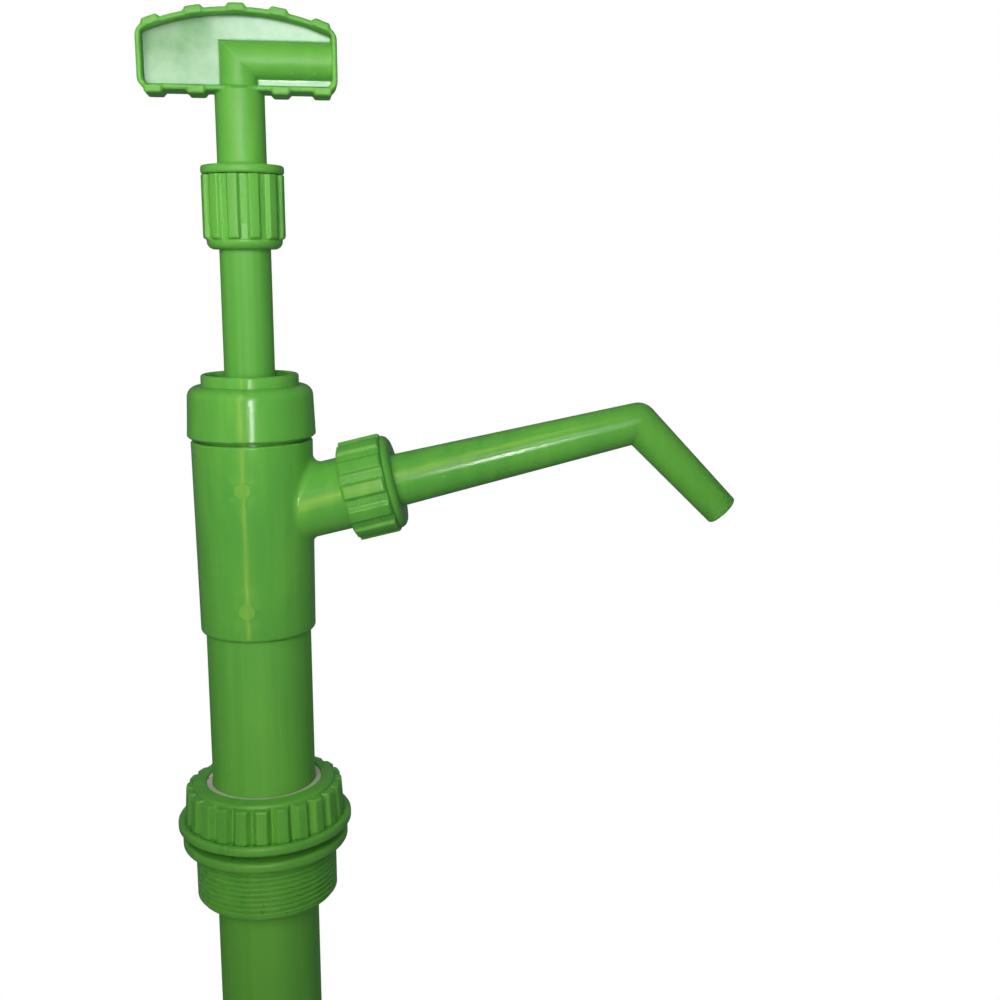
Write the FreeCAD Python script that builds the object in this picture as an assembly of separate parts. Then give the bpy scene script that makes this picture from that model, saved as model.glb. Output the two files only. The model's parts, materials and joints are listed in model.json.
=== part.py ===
import FreeCAD, Part
import math
import os

# Lift-action hand pump for drums, one solid per piece, in millimetres.
# Origin: on the pump's axis, at the underside of the bung flange, where it sits on the drum.
# +Z runs up the pump's axis and +X points the way the spout delivers.
# Pieces on different moving bodies keep a running gap; pieces that screw or press
# together on one body meet face to face, with FIT between their round walls.

# ---- Gaps ------------------------------------------------------------------------------
FIT = 0.05                 # radial gap between round walls of one body
RUN = 0.10                 # gap between pieces of different bodies
WIPER_GAP = 0.30           # gap round the rod inside its soft wiper

# ---- Pump tube and tee -----------------------------------------------------------------
TUBE_R, TUBE_BORE_R = 21.15, 18.75
TUBE_TOP, TUBE_BOTTOM = 125.5, -806.0
TEE_BOTTOM, TEE_TOP = 92.3, 170.4
TEE_BOTTOM_R, TEE_TOP_R = 23.1, 24.0
NECK_R, NECK_TOP = 20.9, 186.7
MARK_R, MARK_DEPTH = 3.2, 0.3
MARK_HEIGHTS = (105.1, 153.3)
GASKET_T = 1.5

# ---- Cap and rod guide -----------------------------------------------------------------
CAP_BOTTOM, CAP_TOP, CAP_WALL = 171.8, 192.2, 4.0
CAP_BOTTOM_R, CAP_TOP_R = 25.3, 24.5
CAP_TOP_ROUND, CAP_BOTTOM_CUT = 4.4, 0.7
GUIDE_R, GUIDE_RECESS_R, GUIDE_TOP = 19.15, 16.45, 196.6
GUIDE_SHANK_R, GUIDE_BOTTOM = 15.0, 173.5
WIPER_R, WIPER_BOTTOM, WIPER_TOP = 13.2, 185.5, 188.5

# ---- Branch, spout and their union nut -------------------------------------------------
BRANCH_TILT = 13.6         # degrees above horizontal
BRANCH_HEIGHT = 139.7      # where the branch's axis meets the pump's axis
BRANCH_R, BRANCH_BORE_R, BRANCH_LENGTH = 14.6, 11.0, 52.0
BRANCH_BLEND = 3.0
SPOUT_FLANGE_R, SPOUT_FLANGE_T = 14.0, 2.8
SPOUT_START_R, SPOUT_ELBOW_R, SPOUT_MOUTH_R = 10.7, 8.05, 6.85
SPOUT_START_BORE_R, SPOUT_BORE_R = 7.6, 5.0
ELBOW_ALONG = 158.5        # elbow's distance from the pump's axis, along the branch
OUTLET_DROP = 45.9         # outlet leg, degrees below horizontal
OUTLET_LENGTH = 50.0
SPOUT_NUT_START, SPOUT_NUT_END, SPOUT_NUT_RIM = 39.0, 59.7, 0.8
SPOUT_NUT_R, SPOUT_NUT_RIB_R, SPOUT_NUT_RIM_R = 19.0, 20.1, 18.2
SPOUT_NUT_RIBS, SPOUT_NUT_RIB_W, SPOUT_NUT_RIB_AT, SPOUT_NUT_ROUND = 12, 5.4, -97.5, 3.5

# ---- Bung adapter ----------------------------------------------------------------------
THREAD_R, THREAD_DEPTH, THREAD_PITCH = 29.2, 0.9, 2.21     # 11.5 threads per inch
THREAD_START, THREAD_GROOVES, THREAD_LAND = -1.0, 9, 0.74
THREAD_END, LEAD_END, LEAD_R = -21.6, -23.1, 28.3
FLANGE_R, FLANGE_T = 34.2, 4.3
BUNG_BORE_R, BUNG_NECK_R, BUNG_NECK_TOP = 21.6, 27.6, 19.0
CONE_START, CONE_START_R, CONE_SLOPE = 9.5, 21.8, 0.4
NUT_BOTTOM, NUT_TOP, NUT_FLANGE_R, NUT_FLANGE_TOP = 8.0, 27.7, 35.85, 12.1
NUT_RIBS, NUT_RIB_W, NUT_RIB_START = 24, 6.3, -82.0
NUT_VALLEY_LOW_R, NUT_VALLEY_HIGH_R, NUT_RIB_OUT, NUT_RIB_TOP = 31.2, 30.3, 1.6, 25.6
PLATEAU_R, PLATEAU_EDGE_Z, NUT_LIP_Z, NUT_LIP_R = 30.0, 26.9, 23.0, 23.85

# ---- Rod, its nut and the handle -------------------------------------------------------
ROD_R, ROD_BORE_R, ROD_BOTTOM, ROD_TOP = 9.92, 7.0, -680.0, 251.9
ROD_FLANGE_R, ROD_FLANGE_T = 12.3, 2.9
ROD_NUT_BOTTOM, ROD_NUT_TOP, ROD_NUT_WALL = 244.7, 272.7, 4.2
ROD_NUT_R, ROD_NUT_RIB_R, ROD_NUT_BORE_R = 14.35, 15.9, 12.5
ROD_NUT_RIBS, ROD_NUT_RIB_W, ROD_NUT_RIB_AT = 12, 4.3, -64.0
SPIGOT_R, SPIGOT_BOTTOM = 12.4, 253.5
STEM_R, STEM_FLANGE_R, STEM_FLANGE_BOTTOM, STEM_FLANGE_TOP = 9.4, 15.85, 272.9, 276.3
STEM_BORE_R = 4.8
GRIP_TURN = 9.0            # degrees the grip rests turned about the pump's axis
GRIP_HALF_W, GRIP_HALF_T, GRIP_BOTTOM = 37.0, 7.5, 303.1
GRIP_SHOULDER, GRIP_CROWN = 325.4, 333.2
GRIP_RISE = GRIP_CROWN - GRIP_SHOULDER
CROWN_R = (GRIP_HALF_W ** 2 + GRIP_RISE ** 2) / (2 * GRIP_RISE)
GRIP_WALL, GRIP_WEB, GRIP_EDGE = 2.1, 3.0, 0.9
GRIP_TUBE_R, GRIP_TUBE_HEIGHT = 7.05, 314.95
PAD_W, PAD_RISE, PAD_PROUD, PAD_PITCH = 6.5, 1.2, 0.4, 15.65

# ---- Stroke stop, piston and foot valve ------------------------------------------------
STROKE_UP, STROKE_DOWN = 252.0, 47.5
STOP_R, STOP_H = 14.5, 14.0
FOOT_R, FOOT_TOP, FOOT_BOTTOM = 24.4, -790.0, -862.0
PISTON_BOTTOM, PISTON_TOP = FOOT_TOP + STROKE_DOWN + 2.5, -712.0
PISTON_R, GROOVE_R, GROOVE_LOW, GROOVE_HIGH = 18.45, 15.0, -732.0, -724.0
PISTON_THROAT_R, PISTON_SEAT_Z, PISTON_CHAMBER_R = 6.5, -733.0, 11.5
PISTON_NECK_R, PISTON_NECK_TOP, PISTON_BALL_R, PISTON_LIFT = 14.0, -704.0, 9.5, 6.0
CAGE_R, CAGE_WINDOW_W, CAGE_ROOF = 17.5, 17.0, 6.0
FOOT_WAIST_R, FOOT_SKIRT_R, FOOT_SKIRT_BORE_R = 18.6, 21.0, 17.5
FOOT_THROAT_R, FOOT_SEAT_Z, FOOT_CHAMBER_R, FOOT_SHELF_Z = 8.0, -842.0, 15.0, -848.0
FOOT_BALL_R, FOOT_LIFT, FOOT_PIN_R = 12.0, 7.0, 1.5
SEAT_GAP = 0.03            # gap between a resting ball and its seat


# ---- Shape helpers ---------------------------------------------------------------------
def vec(x, y, z):
    return FreeCAD.Vector(x, y, z)


Z_AXIS = vec(0, 0, 1)


def rounded_wire(points):
    """Closed wire in the XZ plane; a point is (x, z) or (x, z, corner_radius)."""
    edges, ends = [], []
    count = len(points)
    for i, point in enumerate(points):
        here = vec(point[0], 0, point[1])
        radius = point[2] if len(point) > 2 else 0.0
        if radius == 0:
            ends.append((here, here))
            continue
        before, after = points[i - 1], points[(i + 1) % count]
        to_before = (vec(before[0], 0, before[1]) - here).normalize()
        to_after = (vec(after[0], 0, after[1]) - here).normalize()
        half = to_before.getAngle(to_after) / 2
        run = radius / math.tan(half)
        start, end = here + to_before * run, here + to_after * run
        inward = (to_before + to_after).normalize()
        middle = here + inward * (radius / math.sin(half) - radius)
        edges.append(Part.Arc(start, middle, end).toShape())
        ends.append((start, end))
    for i in range(count):
        start, end = ends[i][1], ends[(i + 1) % count][0]
        if start.distanceToPoint(end) > 1e-6:
            edges.append(Part.LineSegment(start, end).toShape())
    return Part.Wire(Part.__sortEdges__(edges))


def turned(points):
    """Solid of revolution about Z from (r, z) or (r, z, corner_radius) points."""
    return Part.Face(rounded_wire(points)).revolve(vec(0, 0, 0), Z_AXIS, 360)


def ring(outer, inner, low, high, edge=0.0):
    return turned([(inner, low), (outer, low, edge), (outer, high, edge), (inner, high)])


def cylinder(radius, low, high):
    return Part.makeCylinder(radius, high - low, vec(0, 0, low))


def box(x, y, z):
    """Box from three (low, high) pairs."""
    return Part.makeBox(x[1] - x[0], y[1] - y[0], z[1] - z[0], vec(x[0], y[0], z[0]))


def around(shape, count, start=0.0):
    """Copies of a shape spaced evenly about Z, from a start angle in degrees."""
    copies = []
    for i in range(count):
        copy = shape.copy()
        copy.rotate(vec(0, 0, 0), Z_AXIS, start + 360.0 * i / count)
        copies.append(copy)
    return copies


def moved(shape, x=0.0, y=0.0, z=0.0):
    copy = shape.copy()
    copy.translate(vec(x, y, z))
    return copy


def along_branch(shape):
    """Carry a shape built up +Z to the branch's axis."""
    shape.rotate(vec(0, 0, 0), vec(0, 1, 0), 90 - BRANCH_TILT)
    shape.translate(vec(0, 0, BRANCH_HEIGHT))
    return shape


def rounded_edges(shape, radius, wanted):
    """Fillet the edges for which wanted(edge) is true."""
    return shape.makeFillet(radius, [edge for edge in shape.Edges if wanted(edge)])


def thread_grooves(radius, top, count, depth=0.7, pitch=2.2, land=0.7):
    """Ring-shaped V grooves that stand for an outside thread, downwards from top."""
    grooves = []
    for i in range(count):
        high = top - land - i * pitch
        low = high - (pitch - land)
        middle = (high + low) / 2
        grooves.append(turned([(radius + 1, high), (radius, high), (radius - depth, middle),
                               (radius, low), (radius + 1, low)]))
    return grooves


def seated_ball_height(throat_r, seat_z, ball_r):
    """Height of a ball's centre when it rests on a 45 degree seat above a throat."""
    return seat_z - throat_r + (ball_r + SEAT_GAP) * math.sqrt(2)


def ribbed(core, rib, count, start):
    """A turned core with one rib repeated round it."""
    return core.fuse(around(rib, count, start)).removeSplitter()


# ---- Bung adapter ----------------------------------------------------------------------
def bung_body():
    cone_top_r = CONE_START_R + CONE_SLOPE * (BUNG_NECK_TOP - CONE_START)
    body = turned([
        (BUNG_BORE_R, LEAD_END), (LEAD_R, LEAD_END, 0.7), (LEAD_R, THREAD_END),
        (THREAD_R, THREAD_END), (THREAD_R, 0), (FLANGE_R, 0, 1.4), (FLANGE_R, FLANGE_T, 1.4),
        (BUNG_NECK_R, FLANGE_T), (BUNG_NECK_R, BUNG_NECK_TOP), (cone_top_r, BUNG_NECK_TOP),
        (CONE_START_R, CONE_START), (BUNG_BORE_R, CONE_START - 1),
    ])
    outer = thread_grooves(THREAD_R, THREAD_START, THREAD_GROOVES, THREAD_DEPTH, THREAD_PITCH, THREAD_LAND)
    neck = thread_grooves(BUNG_NECK_R, BUNG_NECK_TOP, 5)
    return body.cut(outer + neck)


def bung_nut():
    core = turned([
        (BUNG_NECK_R + RUN, NUT_BOTTOM), (NUT_FLANGE_R, NUT_BOTTOM, 1.2),
        (NUT_FLANGE_R, NUT_FLANGE_TOP, 1.2), (NUT_VALLEY_LOW_R, NUT_FLANGE_TOP - 0.3, 0.6),
        (NUT_VALLEY_HIGH_R, NUT_RIB_TOP - 0.5, 0.4), (PLATEAU_R, NUT_RIB_TOP, 0.5),
        (PLATEAU_R, PLATEAU_EDGE_Z, 0.9), (NUT_LIP_R, NUT_TOP, 0.5), (NUT_LIP_R, NUT_LIP_Z),
        (BUNG_NECK_R + RUN, NUT_LIP_Z),
    ])
    low, high = NUT_FLANGE_TOP - 0.6, NUT_RIB_TOP
    root = PLATEAU_R - 0.6
    profile = Part.Face(rounded_wire([
        (root, low), (NUT_VALLEY_LOW_R + NUT_RIB_OUT, low),
        (NUT_VALLEY_HIGH_R + NUT_RIB_OUT, high, 0.9), (root, high),
    ]))
    rib = moved(profile.extrude(vec(0, NUT_RIB_W, 0)), y=-NUT_RIB_W / 2)
    rib = rounded_edges(rib, 0.45, lambda e: e.BoundBox.XMin > root + 0.1 and e.BoundBox.YLength < 0.1)
    return ribbed(core, rib, NUT_RIBS, NUT_RIB_START)


def clamp_ring():
    bore = TUBE_R + RUN
    cone_gap = 0.12
    low = CONE_START + 0.6
    low_r = CONE_START_R + CONE_SLOPE * (low - CONE_START) - cone_gap
    high_r = CONE_START_R + CONE_SLOPE * (BUNG_NECK_TOP - CONE_START) - cone_gap
    body = turned([
        (bore, low), (low_r, low), (high_r, BUNG_NECK_TOP), (high_r, NUT_LIP_Z - RUN),
        (NUT_LIP_R - RUN, NUT_LIP_Z - RUN), (NUT_LIP_R - RUN, NUT_TOP - 0.7, 0.4),
        (bore, NUT_TOP - 0.7, 0.4),
    ])
    slit = 3.0
    return body.cut(box((-FLANGE_R, 0), (-slit / 2, slit / 2), (0, NUT_TOP)))


# ---- Pump tube and head ----------------------------------------------------------------
def pump_tube():
    return ring(TUBE_R, TUBE_BORE_R, TUBE_BOTTOM, TUBE_TOP)


def tee_body():
    shell = turned([
        (0, TEE_BOTTOM), (TEE_BOTTOM_R, TEE_BOTTOM, 1.6), (TEE_TOP_R, TEE_TOP, 0.9),
        (NECK_R, TEE_TOP), (NECK_R, NECK_TOP, 0.4), (0, NECK_TOP),
    ])
    shell = shell.cut(thread_grooves(NECK_R, NECK_TOP, 5))
    shell.rotate(vec(0, 0, 0), Z_AXIS, 180)
    joined = shell.fuse(along_branch(cylinder(BRANCH_R, 0, BRANCH_LENGTH)))
    joined = rounded_edges(joined, BRANCH_BLEND, lambda e: e.Curve.TypeId == "Part::GeomBSplineCurve")
    joined = joined.cut(along_branch(thread_stack()))
    hollow = [
        cylinder(TUBE_R + FIT, TEE_BOTTOM, TUBE_TOP), cylinder(TUBE_BORE_R, TUBE_TOP, NECK_TOP),
        along_branch(cylinder(BRANCH_BORE_R, 0, BRANCH_LENGTH)),
    ]
    return joined.cut(hollow + [ejector_mark(z) for z in MARK_HEIGHTS])


def thread_stack():
    """Grooves for the union nut near the branch's mouth, as one compound up +Z."""
    return Part.makeCompound(thread_grooves(BRANCH_R, BRANCH_LENGTH, 4))


def ejector_mark(z):
    """Shallow round dent on the -Y side of the tee."""
    wall_r = TEE_BOTTOM_R + (TEE_TOP_R - TEE_BOTTOM_R) * (z - TEE_BOTTOM) / (TEE_TOP - TEE_BOTTOM)
    return Part.makeCylinder(MARK_R, 5, vec(0, -wall_r + MARK_DEPTH, z), vec(0, -1, 0))


def tee_cap():
    roof = CAP_TOP - CAP_WALL
    return turned([
        (NECK_R + RUN, CAP_BOTTOM), (CAP_BOTTOM_R - CAP_BOTTOM_CUT, CAP_BOTTOM),
        (CAP_BOTTOM_R, CAP_BOTTOM + CAP_BOTTOM_CUT, 0.3), (CAP_TOP_R, CAP_TOP, CAP_TOP_ROUND),
        (GUIDE_SHANK_R + FIT, CAP_TOP), (GUIDE_SHANK_R + FIT, roof),
        (NECK_R + RUN, roof),
    ])


def cap_gasket():
    return ring(NECK_R - 0.4, GUIDE_SHANK_R + 1, NECK_TOP, NECK_TOP + GASKET_T)


def guide_bush():
    bore = ROD_R + RUN
    floor = CAP_TOP + 1.6
    body = turned([
        (bore, GUIDE_BOTTOM), (GUIDE_SHANK_R, GUIDE_BOTTOM, 0.8), (GUIDE_SHANK_R, CAP_TOP),
        (GUIDE_R, CAP_TOP), (GUIDE_R, GUIDE_TOP, 1.1), (GUIDE_RECESS_R, GUIDE_TOP, 0.8),
        (GUIDE_RECESS_R, floor, 0.5), (bore, floor, 0.5),
    ])
    return body.cut(ring(WIPER_R, 0, WIPER_BOTTOM, WIPER_TOP))


def rod_wiper():
    return ring(WIPER_R - FIT, ROD_R + WIPER_GAP, WIPER_BOTTOM, WIPER_TOP)


# ---- Spout -----------------------------------------------------------------------------
def spout_seal():
    mouth = BRANCH_LENGTH
    return along_branch(ring(SPOUT_FLANGE_R, SPOUT_START_BORE_R, mouth, mouth + GASKET_T))


def spout():
    root = BRANCH_LENGTH + GASKET_T + RUN
    flange_top = root + SPOUT_FLANGE_T
    arm = cylinder(SPOUT_FLANGE_R, root, flange_top).fuse([
        Part.makeCone(SPOUT_START_R, SPOUT_ELBOW_R, ELBOW_ALONG - flange_top, vec(0, 0, flange_top)),
        Part.makeSphere(SPOUT_ELBOW_R, vec(0, 0, ELBOW_ALONG)),
    ])
    arm_bore = Part.makeCone(SPOUT_START_BORE_R, SPOUT_BORE_R, ELBOW_ALONG - root, vec(0, 0, root))
    elbow_bore = Part.makeSphere(SPOUT_BORE_R, vec(0, 0, ELBOW_ALONG))
    leg = Part.makeCone(SPOUT_ELBOW_R, SPOUT_MOUTH_R, OUTLET_LENGTH)
    leg = rounded_edges(leg, 0.9, lambda e: e.BoundBox.ZMin > OUTLET_LENGTH - 0.1)
    solid = along_branch(arm).fuse(at_outlet(leg))
    bore = along_branch(arm_bore.fuse(elbow_bore)).fuse(at_outlet(cylinder(SPOUT_BORE_R, 0, OUTLET_LENGTH)))
    return solid.cut(bore).removeSplitter()


def at_outlet(shape):
    """Carry a shape built up +Z to the elbow, pointing down the outlet leg."""
    tilt = math.radians(BRANCH_TILT)
    shape.rotate(vec(0, 0, 0), vec(0, 1, 0), 90 + OUTLET_DROP)
    shape.translate(vec(ELBOW_ALONG * math.cos(tilt), 0, BRANCH_HEIGHT + ELBOW_ALONG * math.sin(tilt)))
    return shape


def nut_rib(core_r, rib_r, width, low, high, open_end):
    """One straight grip rib on the +X side, rounded at its closed end or ends."""
    rib = box((core_r - 1.0, rib_r), (-width / 2, width / 2), (low, high))
    rib = rounded_edges(rib, 0.9, lambda e: e.BoundBox.XLength > 1 and not on_level(e, open_end))
    outer = rib_r - 0.01
    return rounded_edges(rib, 0.4, lambda e: e.BoundBox.XMin > outer and not on_level(e, open_end))


def on_level(edge, z):
    """True for an edge that lies in the plane at height z."""
    return abs(edge.BoundBox.ZMin - z) < 0.01 and abs(edge.BoundBox.ZMax - z) < 0.01


def spout_nut():
    inner_wall = BRANCH_LENGTH + GASKET_T + SPOUT_FLANGE_T + 2 * RUN
    ribs_start = SPOUT_NUT_START + SPOUT_NUT_RIM
    bore = BRANCH_R + RUN
    core = turned([
        (bore, SPOUT_NUT_START), (SPOUT_NUT_RIM_R, SPOUT_NUT_START, 0.4), (SPOUT_NUT_RIM_R, ribs_start),
        (SPOUT_NUT_R, ribs_start), (SPOUT_NUT_R, SPOUT_NUT_END, SPOUT_NUT_ROUND),
        (SPOUT_START_R + RUN, SPOUT_NUT_END), (SPOUT_START_R + RUN, inner_wall), (bore, inner_wall),
    ])
    ribs_end = SPOUT_NUT_END - SPOUT_NUT_ROUND + 0.2
    rib = nut_rib(SPOUT_NUT_R, SPOUT_NUT_RIB_R, SPOUT_NUT_RIB_W, ribs_start, ribs_end, ribs_start)
    return along_branch(ribbed(core, rib, SPOUT_NUT_RIBS, SPOUT_NUT_RIB_AT))


# ---- Rod, its nut and the handle -------------------------------------------------------
def rod():
    flange_low = ROD_TOP - ROD_FLANGE_T
    return turned([
        (ROD_BORE_R, ROD_BOTTOM), (ROD_R, ROD_BOTTOM), (ROD_R, flange_low),
        (ROD_FLANGE_R, flange_low), (ROD_FLANGE_R, ROD_TOP), (ROD_BORE_R, ROD_TOP),
    ])


def rod_stop():
    top = GUIDE_BOTTOM - STROKE_UP - 0.4
    return ring(STOP_R, ROD_R, top - STOP_H, top, 1.0)


def rod_nut():
    inner_wall = ROD_NUT_BOTTOM + ROD_NUT_WALL
    core = turned([
        (ROD_R + RUN, ROD_NUT_BOTTOM), (ROD_NUT_R + 0.2, ROD_NUT_BOTTOM, 3.0),
        (ROD_NUT_R + 0.2, inner_wall), (ROD_NUT_R, inner_wall + 0.2), (ROD_NUT_R, ROD_NUT_TOP, 0.3),
        (ROD_NUT_BORE_R, ROD_NUT_TOP), (ROD_NUT_BORE_R, inner_wall), (ROD_R + RUN, inner_wall),
    ])
    top = ROD_NUT_TOP - 0.2
    rib = nut_rib(ROD_NUT_R, ROD_NUT_RIB_R, ROD_NUT_RIB_W, inner_wall - 0.4, top, top)
    return ribbed(core, rib, ROD_NUT_RIBS, ROD_NUT_RIB_AT)


def stem_seal():
    return ring(SPIGOT_R - 0.2, ROD_BORE_R, SPIGOT_BOTTOM - GASKET_T, SPIGOT_BOTTOM)


def grip_outline(inset, half_t, low_edge, high_edge):
    """The grip's arched block, shrunk by inset all round, with its corners rounded."""
    side = GRIP_HALF_W - inset
    block = box((-side, side), (-half_t, half_t), (GRIP_BOTTOM + inset, GRIP_CROWN + 5))
    arch_centre = vec(0, -half_t, GRIP_CROWN - CROWN_R)
    block = block.common(Part.makeCylinder(CROWN_R - inset, 2 * half_t, arch_centre, vec(0, 1, 0)))

    def corner(edge, above):
        crosswise = edge.BoundBox.XLength < 0.01 and edge.BoundBox.ZLength < 0.01
        return crosswise and (edge.BoundBox.ZMin > GRIP_BOTTOM + 10) == above

    block = rounded_edges(block, low_edge, lambda e: corner(e, False))
    return rounded_edges(block, high_edge, lambda e: corner(e, True))


def grip_shell():
    block = grip_outline(0, GRIP_HALF_T, 4.5, 3.0)
    block = rounded_edges(block, GRIP_EDGE, lambda e: e.BoundBox.YLength < 0.01)
    pocket_depth = GRIP_HALF_T - GRIP_WEB / 2
    pocket = grip_outline(GRIP_WALL, pocket_depth / 2, 1.9, 1.2)
    offset = GRIP_WEB / 2 + pocket_depth / 2
    shell = block.cut([moved(pocket, y=-offset), moved(pocket, y=offset)])
    return rounded_edges(shell, GRIP_EDGE, on_pocket_mouth)


def on_pocket_mouth(edge):
    """True for an edge where one of the grip's pockets opens."""
    size, inset = edge.BoundBox, (GRIP_EDGE + GRIP_WALL) / 2
    at_face = size.YLength < 0.01 and abs(size.YMin) > GRIP_HALF_T - 0.01
    inside = max(-size.XMin, size.XMax) < GRIP_HALF_W - inset
    return at_face and inside and size.ZMin > GRIP_BOTTOM + inset and size.ZMax < GRIP_CROWN - inset


def grip_tube():
    """Mitred elbow of round tube that fills the grip from the stem to its +X wall."""
    reach = GRIP_HALF_W - GRIP_WALL / 2
    big = 4 * GRIP_TUBE_R
    upright = cylinder(GRIP_TUBE_R, GRIP_BOTTOM + 0.5, GRIP_TUBE_HEIGHT + 2 * GRIP_TUBE_R)
    level = Part.makeCylinder(GRIP_TUBE_R, reach + 2 * GRIP_TUBE_R,
                              vec(-2 * GRIP_TUBE_R, 0, GRIP_TUBE_HEIGHT), vec(1, 0, 0))
    below = box((-3 * big, 3 * big), (-big, big), (-3 * big, 0))
    above = box((-3 * big, 3 * big), (-big, big), (0, 3 * big))
    for half in (below, above):
        half.rotate(vec(0, 0, 0), vec(0, 1, 0), 45)
        half.translate(vec(0, 0, GRIP_TUBE_HEIGHT))
    return upright.common(below).fuse(level.common(above))


def grip_pads():
    """Low pads across the grip's arched top and flat underside."""
    half_t = GRIP_HALF_T + PAD_PROUD
    depth = GRIP_WALL * 0.8
    pads = []
    for step in (-2, -1, 0, 1, 2):
        x = step * PAD_PITCH
        lean = math.degrees(math.asin(x / CROWN_R))
        top = box((-PAD_W / 2, PAD_W / 2), (-half_t, half_t), (-depth, PAD_RISE))
        top = rounded_edges(top, 0.5, lambda e: e.BoundBox.ZMin > PAD_RISE - 0.01 or e.BoundBox.ZLength > 1)
        low = top.copy()
        low.rotate(vec(0, 0, 0), vec(0, 1, 0), 180)
        pads.append(moved(low, x=x, z=GRIP_BOTTOM))
        top.rotate(vec(0, 0, 0), vec(0, 1, 0), lean)
        centre_z = GRIP_CROWN - CROWN_R + math.sqrt(CROWN_R ** 2 - x ** 2)
        pads.append(moved(top, x=x, z=centre_z))
    return pads


def handle_grip():
    stem = turned([
        (0, SPIGOT_BOTTOM), (SPIGOT_R, SPIGOT_BOTTOM, 0.5), (SPIGOT_R, STEM_FLANGE_BOTTOM),
        (STEM_FLANGE_R, STEM_FLANGE_BOTTOM, 0.3), (STEM_FLANGE_R, STEM_FLANGE_TOP, 1.6),
        (STEM_R, STEM_FLANGE_TOP, 1.0), (STEM_R, GRIP_BOTTOM + 1), (0, GRIP_BOTTOM + 1),
    ])
    stem = stem.cut(thread_grooves(SPIGOT_R, STEM_FLANGE_BOTTOM - 3, 6, 0.6))
    body = grip_shell().fuse([stem, grip_tube()] + grip_pads())
    bores = [
        cylinder(STEM_BORE_R, SPIGOT_BOTTOM, GRIP_TUBE_HEIGHT),
        Part.makeSphere(STEM_BORE_R, vec(0, 0, GRIP_TUBE_HEIGHT)),
        Part.makeCylinder(STEM_BORE_R, GRIP_HALF_W, vec(0, 0, GRIP_TUBE_HEIGHT), vec(1, 0, 0)),
    ]
    solid = body.cut(bores).removeSplitter()
    solid.rotate(vec(0, 0, 0), Z_AXIS, GRIP_TURN)
    return solid


# ---- Piston ----------------------------------------------------------------------------
def piston_body():
    cone_top = PISTON_SEAT_Z + PISTON_CHAMBER_R - PISTON_THROAT_R
    return turned([
        (PISTON_THROAT_R, PISTON_BOTTOM, 1.0), (PISTON_R, PISTON_BOTTOM, 1.0),
        (PISTON_R, GROOVE_LOW), (GROOVE_R, GROOVE_LOW), (GROOVE_R, GROOVE_HIGH),
        (PISTON_R, GROOVE_HIGH), (PISTON_R, PISTON_TOP, 0.6),
        (PISTON_NECK_R, PISTON_TOP), (PISTON_NECK_R, PISTON_NECK_TOP), (PISTON_CHAMBER_R, PISTON_NECK_TOP),
        (PISTON_CHAMBER_R, cone_top), (PISTON_THROAT_R, PISTON_SEAT_Z),
    ])


def piston_seal():
    return ring(TUBE_BORE_R - FIT, GROOVE_R + 0.4, GROOVE_LOW + RUN, GROOVE_HIGH - RUN, 0.8)


def piston_cage():
    """Cup screwed on the piston's neck, with side windows, a ball stop and a plug for the rod."""
    roof, inner = ROD_BOTTOM - CAGE_ROOF, PISTON_NECK_R + FIT
    ball_top = seated_ball_height(PISTON_THROAT_R, PISTON_SEAT_Z, PISTON_BALL_R) + PISTON_BALL_R
    shell = turned([
        (inner, PISTON_TOP), (CAGE_R, PISTON_TOP, 0.5), (CAGE_R, ROD_BOTTOM, 2.0),
        (ROD_BORE_R - FIT, ROD_BOTTOM), (ROD_BORE_R - FIT, ROD_BOTTOM + 20, 1.0), (0, ROD_BOTTOM + 20),
        (0, ball_top + PISTON_LIFT + RUN), (3.5, ball_top + PISTON_LIFT + RUN, 0.6), (3.5, roof),
        (inner, roof),
    ])
    half = CAGE_WINDOW_W / 2
    window = box((ROD_R, CAGE_R + 1), (-half, half), (PISTON_NECK_TOP + 1, roof - 1))
    return shell.cut(around(window, 3, 30))


def piston_ball():
    height = seated_ball_height(PISTON_THROAT_R, PISTON_SEAT_Z, PISTON_BALL_R)
    return Part.makeSphere(PISTON_BALL_R, vec(0, 0, height))


# ---- Foot valve ------------------------------------------------------------------------
def foot_pin_height():
    ball_top = seated_ball_height(FOOT_THROAT_R, FOOT_SEAT_Z, FOOT_BALL_R) + FOOT_BALL_R
    return ball_top + FOOT_LIFT + RUN + FOOT_PIN_R


def foot_body():
    shoulder = TUBE_BOTTOM - GASKET_T
    cone_top = FOOT_SEAT_Z + FOOT_CHAMBER_R - FOOT_THROAT_R
    body = turned([
        (TUBE_R + FIT, FOOT_TOP), (FOOT_R, FOOT_TOP, 1.0), (FOOT_R, shoulder - 1, 2.0),
        (FOOT_WAIST_R, shoulder - 7, 2.0), (FOOT_WAIST_R, FOOT_SEAT_Z, 1.5),
        (FOOT_SKIRT_R, FOOT_SEAT_Z - 3.5, 1.0), (FOOT_SKIRT_R, FOOT_BOTTOM, 0.8),
        (FOOT_SKIRT_BORE_R, FOOT_BOTTOM), (FOOT_SKIRT_BORE_R, FOOT_SHELF_Z), (FOOT_THROAT_R, FOOT_SHELF_Z),
        (FOOT_THROAT_R, FOOT_SEAT_Z), (FOOT_CHAMBER_R, cone_top), (FOOT_CHAMBER_R, shoulder),
        (TUBE_R + FIT, shoulder),
    ])
    notch = box((FOOT_THROAT_R, FOOT_R), (-6, 6), (FOOT_BOTTOM, FOOT_BOTTOM + 3))
    arch = Part.makeCylinder(6, FOOT_R - FOOT_THROAT_R, vec(FOOT_THROAT_R, 0, FOOT_BOTTOM), vec(1, 0, 0))
    pin_hole = Part.makeCylinder(FOOT_PIN_R, 2 * FOOT_R, vec(-FOOT_R, 0, foot_pin_height()), vec(1, 0, 0))
    return body.cut(around(notch.fuse(arch), 4, 45) + [pin_hole])


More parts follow.
